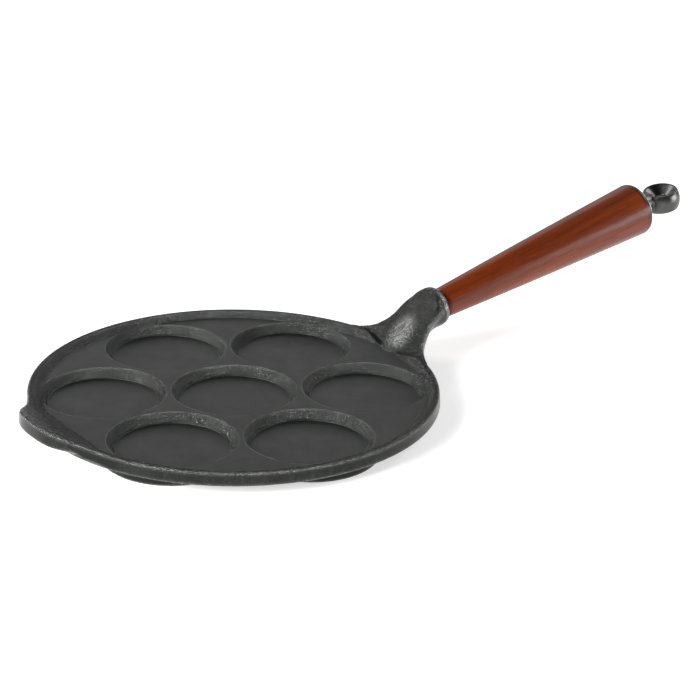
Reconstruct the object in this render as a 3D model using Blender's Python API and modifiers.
"""Cast-iron blini pan with seven round pockets, a wooden handle and a steel hanging eye.

Origin at the centre of the pan, on the plane it stands on. +X runs along the handle, +Z is up.
Driving dimensions are in millimetres, and MM turns them into metres.
"""

import bmesh
import bpy
import numpy as np
from mathutils import Matrix, Vector

MM = 0.001
CLEARANCE = 0.3
OVERLAP = 1.0

# Casting: six pockets round one, all one pitch apart, and the round pads under them
POCKET_FLOOR_RADIUS = 32.2
POCKET_DRAFT = 2.6
POCKET_DEPTH = 5.45
POCKET_BRIDGE = 3.9
POCKET_EDGE_ROUND = 0.8
POCKET_FLOOR_ROUND = 1.3
FIRST_POCKET_ANGLE = 30.0
PAD_WALL = 6.3
PAD_FLARE = 1.1
PAD_FLARE_HEIGHT = 3.0
PAD_ROUND = 0.6

# Casting: the dish. The outer pockets reach a little way into the foot of the rim's inner slope
PLATE_WALL = 4.15
FLOOR_WALL = 4.35
POCKET_INTO_RIM = 0.4
RIM_SLOPE = 3.5
RIM_WIDTH = 4.1
RIM_HEIGHT = 3.25
SKIRT_FLARE = 0.7
RIM_EDGE_ROUND = 1.3
RIM_FOOT_ROUND = 1.5
SKIRT_ROUND = 0.8

# Casting: the lip opposite the handle, as distances out from the rim and heights over it
LIP_REACH = 12.7
LIP_HALF_ANGLE = 14.2
LIP_FLANK_POWER = 4.4
LIP_END_ANGLE = 29.0
LIP_END_SINK = 0.4
LIP_RISE = 0.8
LIP_RISE_EASE = 0.0145
LIP_CREST_BACK = 8.7
LIP_CREST_RISE = 0.15
LIP_CREST_SINK = 0.45
LIP_CREST_ROUND = 0.6
LIP_BORDER = 5.2
LIP_BORDER_STEP = 0.9
LIP_BORDER_HALF = 0.4
LIP_BORDER_MARGIN = 1.9
LIP_EDGE_ROUND = 1.1
LIP_UNDER_HEIGHT = 3.0
LIP_UNDER_ROUND = 0.8
LIP_ROOT = 3.8

# Casting: the neck, as lines on the +Y side that run out from the rim, each height over the plate.
# The -Y side is its mirror image
NECK_OUT = (-11.5, -7.5, -3.5, 0.5, 4.5, 8.5, 14.5, 20.5)
RAMP_Z = (-0.7, 0.7, 2.7, 6.7, 10.9, 15.1, 21.6, 28.8)
CREASE_Y = (13.0, 12.8, 12.3, 11.0, 10.6, 10.2, 9.2, 9.4)
CREASE_Z = (-0.9, -0.7, 0.5, 5.3, 9.4, 13.9, 20.6, 27.4)
CREST_Y = (38.0, 38.0, 30.6, 23.0, 18.9, 16.5, 14.9, 14.0)
CREST_Z = (0.3, 2.9, 4.3, 7.2, 10.4, 13.9, 19.6, 23.3)
KEEL_Y = (37.0, 37.4, 33.4, 26.0, 18.9, 14.4, 11.2, 10.2)
KEEL_Z = (-3.0, -3.2, -3.4, -3.2, -1.2, 2.0, 8.8, 11.8)
BELLY_Z = (-3.7, -3.8, -3.8, -3.8, -3.3, -1.6, 2.8, 6.8)
CREST_ROUND = 1.7
FLANK_BULGE = 0.3
BELLY_QUARTER_Y = 0.55
BELLY_QUARTER_Z = 0.22

# Casting: the gap in the rim's inner slope where the neck's ramp comes down to the plate
MOUTH_OUT = (-14.5, 3.5)
MOUTH_HALF = 10.0
MOUTH_FLARE = 22.0
MOUTH_LIFT = 0.03

# Handle line: where it starts outside the rim, how high over the plate, and its climb in degrees
HANDLE_OUT = 34.5
HANDLE_RISE = 21.63
HANDLE_CLIMB = 11.6

# Socket on the neck, as distances along the handle line
SOCKET_ROUND_START = -9.0
SOCKET_FACE = -4.2
SOCKET_RADIUS = 12.2
SOCKET_LIFT = 0.3
SOCKET_FACE_RADIUS = 9.6
SOCKET_ROUND_TURN = 75.0

# Wooden handle
GRIP_LENGTH = 158.8
GRIP_START_RADIUS = 9.1
GRIP_END_RADIUS = 16.6
GRIP_SWELL = 0.25
GRIP_END_ROUND = 1.5
GRIP_END_ROUND_LENGTH = 3.2
SPIGOT_LENGTH = 3.0
SPIGOT_RADIUS = 6.4

# Steel parts
ROD_RADIUS = 3.0
ROD_EDGE_ROUND = 0.5
ROD_IN_CASTING = 7.9
ROD_IN_EYE = 7.0
WASHER_RADIUS = 13.4
WASHER_THICKNESS = 1.6
WASHER_ROUND = 0.4
COLLAR_RADIUS = 7.0
COLLAR_EDGE = 1.2
COLLAR_ROUND = 0.5
SHANK_LENGTH = 7.3
SHANK_RADIUS = 5.4
SHANK_ROUND = 6.0
SHANK_IN_RING = 4.5

# The eye's ring: a round outer side, and a hole that opens into a wide cone above and below
RING_RADIUS = 12.1
RING_HALF_HEIGHT = 5.8
RING_BULGE = 1.4
RING_TOP_ROUND = 0.5
RING_MOUTH_RADIUS = 9.4
RING_HOLE_RADIUS = 4.0
RING_HOLE_HALF = 0.8
RING_DROP = 1.8

POCKET_TOP_RADIUS = POCKET_FLOOR_RADIUS + POCKET_DRAFT
POCKET_PITCH = 2 * POCKET_TOP_RADIUS + POCKET_BRIDGE
PAD_RADIUS = POCKET_FLOOR_RADIUS + PAD_WALL
PLATE_RADIUS = POCKET_PITCH + POCKET_TOP_RADIUS - POCKET_INTO_RIM
RIM_INNER_RADIUS = PLATE_RADIUS + RIM_SLOPE
RIM_RADIUS = RIM_INNER_RADIUS + RIM_WIDTH
SKIRT_RADIUS = RIM_RADIUS + SKIRT_FLARE
POCKET_FLOOR = FLOOR_WALL
PLATE_TOP = POCKET_FLOOR + POCKET_DEPTH
PLATE_BOTTOM = PLATE_TOP - PLATE_WALL
RIM_TOP = PLATE_TOP + RIM_HEIGHT
GRIP_START = SOCKET_FACE + CLEARANCE
GRIP_END = GRIP_START + GRIP_LENGTH
WASHER_START = GRIP_END + CLEARANCE
EYE_START = WASHER_START + WASHER_THICKNESS + CLEARANCE
ROD_START = GRIP_START - SPIGOT_LENGTH - ROD_IN_CASTING
ROD_END = EYE_START + ROD_IN_EYE
RING_EDGE = EYE_START + SHANK_LENGTH
RING_CENTRE = RING_EDGE + RING_RADIUS
HANDLE_POINT = Vector((RIM_RADIUS + HANDLE_OUT, 0.0, PLATE_TOP + HANDLE_RISE))
CLIMB = np.radians(HANDLE_CLIMB)
ALONG = Vector((np.cos(CLIMB), 0.0, np.sin(CLIMB)))
ACROSS = Vector((-np.sin(CLIMB), 0.0, np.cos(CLIMB)))

pan = bpy.data.collections.new("blini_pan")
cutters = bpy.data.collections.new("shaping_solids")


def rounded(corners, steps=4):
    """The outline through the corners (u, v, radius), with an arc of steps pieces at each rounded one."""
    points = []
    for i, (u, v, radius) in enumerate(corners):
        corner = Vector((u, v))
        if not radius:
            points.append(corner)
            continue
        back = (Vector(corners[i - 1][:2]) - corner).normalized()
        on = (Vector(corners[(i + 1) % len(corners)][:2]) - corner).normalized()
        half = back.angle(on) / 2
        centre = corner + (back + on).normalized() * radius / np.sin(half)
        first = corner + back * radius / np.tan(half) - centre
        turn = first.angle_signed(corner + on * radius / np.tan(half) - centre)
        for k in range(steps + 1):
            points.append(centre + Matrix.Rotation(-turn * k / steps, 2) @ first)
    return [(p.x, p.y) for p in points]


def ease(value, start, end):
    """0 before start, 1 after end and smooth between."""
    t = min(max((value - start) / (end - start), 0.0), 1.0)
    return t * t * (3 - 2 * t)


def spline(points, steps, closed):
    """A smooth line through the points, with steps pieces from each to the next."""
    p = [np.array(point, float) for point in points]
    if closed:
        p = [p[-1], *p, p[0], p[1]]
    else:
        p = [2 * p[0] - p[1], *p, 2 * p[-1] - p[-2]]
    line = []
    for a, b, c, d in zip(p, p[1:], p[2:], p[3:]):
        before, here, after = (np.sqrt(np.linalg.norm(v)) for v in (b - a, c - b, d - c))
        leave = (b - a) / before - (c - a) / (before + here) + (c - b) / here
        arrive = (c - b) / here - (d - b) / (here + after) + (d - c) / after
        for t in np.arange(steps) / steps:
            far = t * t * (3 - 2 * t)
            bend = t * (1 - t) * here * ((1 - t) * leave - t * arrive)
            line.append(b + far * (c - b) + bend)
    if not closed:
        line.append(p[-2])
    return line


def surface(name, colour, roughness, metallic):
    material = bpy.data.materials.new(name)
    material.use_nodes = True
    shader = material.node_tree.nodes["Principled BSDF"]
    shader.inputs["Base Color"].default_value = (*colour, 1.0)
    shader.inputs["Roughness"].default_value = roughness
    shader.inputs["Metallic"].default_value = metallic
    return material


def put(name, mesh, collection, material=None):
    """An object for the mesh, in the collection, with its material."""
    solid = bpy.data.objects.new(name, mesh)
    collection.objects.link(solid)
    if material:
        mesh.materials.append(material)
    if collection is cutters:
        solid.hide_render = True
        solid.display_type = "WIRE"
    return solid


def turned(name, profile, collection, material=None, steps=64):
    """A solid of revolution about its own Z, from (radius, height) points that run down its outer side."""
    mesh = bpy.data.meshes.new(name)
    points = [(radius * MM, 0.0, height * MM) for radius, height in profile]
    closed = min(radius for radius, _ in profile) > 0
    edges = [(i, i + 1) for i in range(len(points) - 1)]
    if closed:
        edges.append((len(points) - 1, 0))
    mesh.from_pydata(points, edges, [])
    solid = put(name, mesh, collection, material)
    screw = solid.modifiers.new("turn", "SCREW")
    screw.axis = "Z"
    screw.steps = steps
    screw.render_steps = steps
    screw.use_merge_vertices = True
    screw.merge_threshold = 0.000001
    screw.use_smooth_shade = True
    return solid


def lofted(name, rings, collection, material=None):
    """A closed solid through rings of points in millimetres, each ring with the same count."""
    count = len(rings[0])
    points = [tuple(float(c) * MM for c in point) for ring in rings for point in ring]
    faces = []
    for r in range(len(rings) - 1):
        for i in range(count):
            j = (i + 1) % count
            faces.append((r * count + i, r * count + j, (r + 1) * count + j, (r + 1) * count + i))
    faces.append(tuple(range(count)))
    faces.append(tuple((len(rings) - 1) * count + i for i in range(count)))
    mesh = bpy.data.meshes.new(name)
    mesh.from_pydata(points, [], faces)
    shape = bmesh.new()
    shape.from_mesh(mesh)
    bmesh.ops.recalc_face_normals(shape, faces=shape.faces)
    shape.to_mesh(mesh)
    shape.free()
    for face in mesh.polygons:
        face.use_smooth = True
    return put(name, mesh, collection, material)


def boolean(solid, operation, other):
    step = solid.modifiers.new(f"{operation.lower()} {other.name}", "BOOLEAN")
    step.operation = operation
    step.object = other
    step.solver = "EXACT"


def on_handle_line(solid):
    """Stands the solid's Z along the handle line."""
    turn = Matrix((ACROSS, (0, -1, 0), ALONG)).transposed().to_4x4()
    solid.matrix_world = Matrix.Translation(HANDLE_POINT * MM) @ turn


def dish():
    profile = rounded(
        [
            (0.0, PLATE_TOP, 0),
            (PLATE_RADIUS, PLATE_TOP, RIM_FOOT_ROUND),
            (RIM_INNER_RADIUS, RIM_TOP, SKIRT_ROUND),
            (RIM_RADIUS, RIM_TOP, RIM_EDGE_ROUND),
            (SKIRT_RADIUS, PLATE_BOTTOM, SKIRT_ROUND),
            (0.0, PLATE_BOTTOM, 0),
        ],
        steps=2,
    )
    steps = 96
    solid = turned("pan_casting", profile, pan, IRON, steps)
    # Half a step of turn keeps the facet lines off the corners where the pads meet.
    solid.rotation_euler.z = np.pi / steps
    return solid


def pads():
    """The round pads under the pockets, which keep the wall even and stand on the hob, as one solid."""
    flare_height = min(PAD_FLARE_HEIGHT, 0.6 * PLATE_BOTTOM)
    levels = [
        (PAD_RADIUS + PAD_FLARE, PLATE_BOTTOM + OVERLAP),
        (PAD_RADIUS + PAD_FLARE, PLATE_BOTTOM - 0.1 * flare_height),
        (PAD_RADIUS + 0.36 * PAD_FLARE, PLATE_BOTTOM - 0.53 * flare_height),
        (PAD_RADIUS, PLATE_BOTTOM - flare_height),
        (PAD_RADIUS, PAD_ROUND),
        (PAD_RADIUS - 0.3 * PAD_ROUND, 0.3 * PAD_ROUND),
        (PAD_RADIUS - PAD_ROUND, 0.0),
    ]
    centres = [np.array(centre) for centre in pocket_centres()]
    solid = lofted("pads_solid", [pad_outline(centres, radius, z) for radius, z in levels], cutters)
    top_radius = PAD_RADIUS + PAD_FLARE + CLEARANCE
    for k in range(6):
        corners = [centres[0], centres[1 + k], centres[1 + (k + 1) % 6]]
        rings = [gap_outline(corners, top_radius, PLATE_BOTTOM + 2 * OVERLAP)]
        rings += [gap_outline(corners, radius, z) for radius, z in levels[1:]]
        rings.append(gap_outline(corners, PAD_RADIUS - PAD_ROUND, -OVERLAP))
        boolean(solid, "DIFFERENCE", lofted(f"pad_gap_{k}", rings, cutters))
    return solid


def arc(centre, radius, middle, half, z, pieces):
    """Points on a circle, over the half angle to each side of its middle direction."""
    angles = middle + half * np.linspace(-1.0, 1.0, pieces + 1)
    return [(centre[0] + radius * np.cos(a), centre[1] + radius * np.sin(a), z) for a in angles]


def pad_outline(centres, radius, z):
    """The outer outline of the overlapping round pads of one radius."""
    ring = []
    half = np.radians(120.0) - np.arccos(POCKET_PITCH / 2 / radius)
    for centre in centres[1:]:
        ring += arc(centre, radius, np.arctan2(centre[1], centre[0]), half, z, 15)[:-1]
    return ring


def gap_outline(corners, radius, z):
    """The three-sided outline left between three of the round pads."""
    ring = []
    half = np.radians(30.0) - np.arccos(POCKET_PITCH / 2 / radius)
    middle = sum(corners) / 3
    for corner in corners:
        to_middle = np.arctan2(*(middle - corner)[::-1])
        ring += arc(corner, radius, to_middle, -half, z, 3)[:-1]
    return ring


def pocket():
    """Half of a pocket's section. Its edge crosses the plate's top at a clear slope."""
    outside = POCKET_TOP_RADIUS + 0.9
    return rounded(
        [
            (0.0, RIM_TOP + OVERLAP, 0),
            (outside, RIM_TOP + OVERLAP, 0),
            (outside, PLATE_TOP + 0.2, 0),
            (POCKET_TOP_RADIUS, PLATE_TOP - 0.25, POCKET_EDGE_ROUND),
            (POCKET_FLOOR_RADIUS, POCKET_FLOOR, POCKET_FLOOR_ROUND),
            (0.0, POCKET_FLOOR, 0),
        ],
        steps=2,
    )


def pocket_centres():
    centres = [(0.0, 0.0)]
    for k in range(6):
        angle = np.radians(FIRST_POCKET_ANGLE + 60.0 * k)
        centres.append((POCKET_PITCH * np.cos(angle), POCKET_PITCH * np.sin(angle)))
    return centres


def lip():
    """The pouring lip: radial sections, from inside the rim on one side of it to the other."""
    rings = []
    fade = 1 / (1 + (LIP_END_ANGLE / LIP_HALF_ANGLE) ** LIP_FLANK_POWER)
    for angle in np.linspace(-LIP_END_ANGLE, LIP_END_ANGLE, 27):
        side = abs(angle)
        cosine = np.cos(np.radians(angle))
        bell = 1 / (1 + (side / LIP_HALF_ANGLE) ** LIP_FLANK_POWER)
        reach = LIP_REACH * (bell - fade) / (1 - fade)
        outer = RIM_RADIUS + reach - LIP_END_SINK * (1 - bell)
        outer_z = RIM_TOP + LIP_RISE * reach - LIP_RISE_EASE * reach**2 - LIP_END_SINK / 2 * (1 - bell)
        crest = min((RIM_RADIUS - LIP_CREST_BACK) / cosine, RIM_INNER_RADIUS + LIP_END_SINK / 2)
        crest_z = RIM_TOP + LIP_CREST_RISE - LIP_CREST_SINK * ease(side, 10.0, LIP_END_ANGLE)
        border = min((RIM_RADIUS + LIP_BORDER) / cosine, outer - LIP_BORDER_MARGIN)
        step = LIP_BORDER_STEP * (1 - ease(side, 8.0, 11.5))
        slope = (outer_z - step - crest_z) / (outer - crest)
        border_z = crest_z + slope * (border - crest)
        under_z = PLATE_TOP + LIP_UNDER_HEIGHT - (LIP_UNDER_HEIGHT + 0.2) * ease(side, 12.5, 16.0)
        under_z -= (PLATE_WALL - 0.5) * ease(side, 14.0, 24.0)
        section = rounded(
            [
                (crest - LIP_ROOT, PLATE_TOP - 0.4, 0),
                (crest, crest_z, LIP_CREST_ROUND),
                (border - LIP_BORDER_HALF, border_z - LIP_BORDER_HALF * slope, 0),
                (border + LIP_BORDER_HALF, border_z + LIP_BORDER_HALF * slope + step, 0),
                (outer, outer_z, LIP_EDGE_ROUND),
                (outer + 0.5 * bell, under_z, LIP_UNDER_ROUND),
                (RIM_RADIUS - 2.0, PLATE_BOTTOM + 0.3, 0),
                (crest - LIP_ROOT, PLATE_BOTTOM + 0.9, 0),
            ],
            steps=2,
        )
        turn = np.radians(180.0 + angle)
        rings.append([(r * np.cos(turn), r * np.sin(turn), z) for r, z in section])
    return lofted("lip_solid", rings, cutters)


def neck_section(ramp, crease, crest, keel, belly):
    """Sixteen points round the neck, from the middle of the ramp over the +Y side."""
    fall = max((crease[1] - crest[1]) / (crest[0] - crease[0]), -0.2)
    inner = (crest[0] - CREST_ROUND, crest[1] + fall * CREST_ROUND)
    outer = (crest[0] + 0.4 * CREST_ROUND, crest[1] - CREST_ROUND)
    flank = ((outer[0] + keel[0]) / 2 + FLANK_BULGE, (outer[1] + keel[1]) / 2)
    quarter = (BELLY_QUARTER_Y * keel[0], belly + BELLY_QUARTER_Z * (keel[1] - belly))
    side = [crease, inner, crest, outer, flank, keel, quarter]
    return [(0.0, ramp), *side, (0.0, belly), *[(-y, z) for y, z in reversed(side)]]


def socket_rings():
    """Round sections square to the handle line, from the end of the neck to the socket's face."""
    stations = [(SOCKET_ROUND_START, SOCKET_RADIUS, SOCKET_LIFT)]
    last = np.radians(SOCKET_ROUND_TURN)
    for angle in last * np.array((1, 2, 3)) / 3:
        forward = np.sin(angle) / np.sin(last)
        inward = (1 - np.cos(angle)) / (1 - np.cos(last))
        stations.append(
            (
                SOCKET_ROUND_START + (SOCKET_FACE - SOCKET_ROUND_START) * forward,
                SOCKET_RADIUS + (SOCKET_FACE_RADIUS - SOCKET_RADIUS) * inward,
                SOCKET_LIFT * (1 - inward),
            )
        )
    rings = []
    for distance, radius, lift in stations:
        centre = HANDLE_POINT + ALONG * distance + ACROSS * lift
        ring = []
        for angle in np.arange(16) * 2 * np.pi / 16:
            arm = ACROSS * np.cos(angle) + Vector((0.0, np.sin(angle), 0.0))
            ring.append(centre + arm * radius)
        rings.append(ring)
    return rings


def neck():
    """The neck: upright sections out of the rim, then round ones square to the handle line."""
    guides = []
    for i, out in enumerate(NECK_OUT):
        section = neck_section(
            RAMP_Z[i],
            (CREASE_Y[i], CREASE_Z[i]),
            (CREST_Y[i], CREST_Z[i]),
            (KEEL_Y[i], KEEL_Z[i]),
            BELLY_Z[i],
        )
        guides.append([(RIM_RADIUS + out, y, PLATE_TOP + z) for y, z in section])
    round_rings = socket_rings()
    guides.append(round_rings[0])
    lines = [spline([ring[i] for ring in guides], 2, False) for i in range(16)]
    rings = [spline([line[k] for line in lines], 2, True) for k in range(len(lines[0]))]
    rings += [spline(ring, 2, True) for ring in round_rings[1:]]
    return lofted("neck_solid", rings, cutters)


def trough_mouth():
    """Opens the inner slope of the rim where the neck's ramp comes down to the plate."""
    rings = []
    for height, widen in ((PLATE_TOP + MOUTH_LIFT, 0.0), (RIM_TOP + 2 * OVERLAP, MOUTH_FLARE)):
        outline = [(RIM_RADIUS + out, MOUTH_HALF + widen) for out in MOUTH_OUT]
        outline += [(x, -y) for x, y in reversed(outline)]
        rings.append([(x, y, height) for x, y in outline])
    return lofted("trough_mouth", rings, cutters)


def socket_bore():
    """The recess for the handle's spigot and the tapped hole behind it."""
    recess_end = GRIP_START - SPIGOT_LENGTH - CLEARANCE
    bore_end = ROD_START - CLEARANCE
    profile = [
        (0.0, SOCKET_FACE + OVERLAP),
        (SPIGOT_RADIUS + CLEARANCE, SOCKET_FACE + OVERLAP),
        (SPIGOT_RADIUS + CLEARANCE, recess_end),
        (ROD_RADIUS + CLEARANCE, recess_end),
        (ROD_RADIUS + CLEARANCE, bore_end),
        (0.0, bore_end),
    ]
    return turned("socket_bore", profile, cutters, steps=40)


def casting():
    solid = dish()
    boolean(solid, "DIFFERENCE", trough_mouth())
    boolean(solid, "UNION", neck())
    boolean(solid, "UNION", lip())
    boolean(solid, "UNION", pads())
    for k, (x, y) in enumerate(pocket_centres()):
        hollow = turned(f"pocket_{k}", pocket(), cutters, steps=40)
        hollow.location = (x * MM, y * MM, 0.0)
        boolean(solid, "DIFFERENCE", hollow)
    bore = socket_bore()
    on_handle_line(bore)
    boolean(solid, "DIFFERENCE", bore)


def wooden_handle():
    profile = [(ROD_RADIUS + CLEARANCE, GRIP_END), (GRIP_END_RADIUS - GRIP_END_ROUND, GRIP_END)]
    for angle in np.radians((22.5, 45.0, 67.5, 90.0)):
        radius = GRIP_END_RADIUS - GRIP_END_ROUND * (1 - np.sin(angle))
        profile.append((radius, GRIP_END - GRIP_END_ROUND_LENGTH * (1 - np.cos(angle))))
    taper = GRIP_END - GRIP_END_ROUND_LENGTH - GRIP_START
    for t in np.linspace(1.0, 0.0, 13)[1:]:
        radius = GRIP_START_RADIUS + (GRIP_END_RADIUS - GRIP_START_RADIUS) * t
        profile.append((radius + GRIP_SWELL * np.sin(np.pi * t), GRIP_START + taper * t))
    spigot_end = GRIP_START - SPIGOT_LENGTH
    profile += [
        (SPIGOT_RADIUS, GRIP_START),
        (SPIGOT_RADIUS, spigot_end),
        (ROD_RADIUS + CLEARANCE, spigot_end),
    ]
    on_handle_line(turned("wooden_handle", profile, pan, WOOD, steps=48))


def tie_rod():
    corners = [
        (0.0, ROD_END, 0),
        (ROD_RADIUS, ROD_END, ROD_EDGE_ROUND),
        (ROD_RADIUS, ROD_START, ROD_EDGE_ROUND),
        (0.0, ROD_START, 0),
    ]
    on_handle_line(turned("tie_rod", rounded(corners, steps=2), pan, STEEL, steps=24))


def end_washer():
    end = WASHER_START + WASHER_THICKNESS
    corners = [
        (ROD_RADIUS + CLEARANCE, end, 0),
        (WASHER_RADIUS, end, WASHER_ROUND),
        (WASHER_RADIUS, WASHER_START, WASHER_ROUND),
        (ROD_RADIUS + CLEARANCE, WASHER_START, 0),
    ]
    on_handle_line(turned("end_washer", rounded(corners, steps=2), pan, BRIGHT_STEEL, steps=40))


def ring_profile(steps):
    """The ring's section: a bulging outer side, rounded rims and a hole that widens both ways."""
    side = []
    for t in np.linspace(1.0, 0.0, steps):
        side.append((RING_RADIUS - RING_BULGE * t * t, RING_HALF_HEIGHT * t, 0))
    top = [
        (RING_HOLE_RADIUS, RING_HOLE_HALF, 0.5),
        (RING_MOUTH_RADIUS, RING_HALF_HEIGHT, RING_TOP_ROUND),
        (side[0][0], RING_HALF_HEIGHT, RING_TOP_ROUND),
    ]
    upper = rounded([(RING_HOLE_RADIUS, 0.0, 0), *top, *side[1:]], steps=3)
    return upper + [(r, -z) for r, z in reversed(upper[1:-1])]


def hanging_eye():
    """The ring of the eye, standing square to the handle line, with its flared and tapped shank."""
    eye = turned("hanging_eye", ring_profile(5), pan, STEEL, steps=48)
    centre = HANDLE_POINT + ALONG * RING_CENTRE - ACROSS * RING_DROP
    eye.matrix_world = Matrix.Translation(centre * MM) @ Matrix.Rotation(-CLIMB, 4, "Y")
    corners = [
        (0.0, RING_EDGE + SHANK_IN_RING, 0),
        (SHANK_RADIUS - 0.6, RING_EDGE + SHANK_IN_RING, 0),
        (SHANK_RADIUS, RING_EDGE + 0.5, SHANK_ROUND),
        (COLLAR_RADIUS, EYE_START + COLLAR_EDGE, COLLAR_ROUND),
        (COLLAR_RADIUS, EYE_START, COLLAR_ROUND / 2),
        (0.0, EYE_START, 0),
    ]
    shank = turned("eye_shank", rounded(corners, steps=3), cutters, steps=32)
    on_handle_line(shank)
    boolean(eye, "UNION", shank)
    bore_profile = [
        (0.0, ROD_END + CLEARANCE),
        (ROD_RADIUS + CLEARANCE, ROD_END + CLEARANCE),
        (ROD_RADIUS + CLEARANCE, EYE_START - OVERLAP),
        (0.0, EYE_START - OVERLAP),
    ]
    bore = turned("eye_bore", bore_profile, cutters, steps=32)
    on_handle_line(bore)
    boolean(eye, "DIFFERENCE", bore)


for old in list(bpy.data.objects):
    bpy.data.objects.remove(old, do_unlink=True)
bpy.context.scene.collection.children.link(pan)
bpy.context.scene.collection.children.link(cutters)
cutters.hide_render = True

IRON = surface("cast_iron", (0.055, 0.057, 0.06), 0.55, 0.6)
WOOD = surface("stained_beech", (0.26, 0.055, 0.02), 0.4, 0.0)
STEEL = surface("dark_steel", (0.16, 0.16, 0.165), 0.3, 1.0)
BRIGHT_STEEL = surface("washer_steel", (0.5, 0.5, 0.5), 0.35, 1.0)

casting()
wooden_handle()
tie_rod()
end_washer()
hanging_eye()
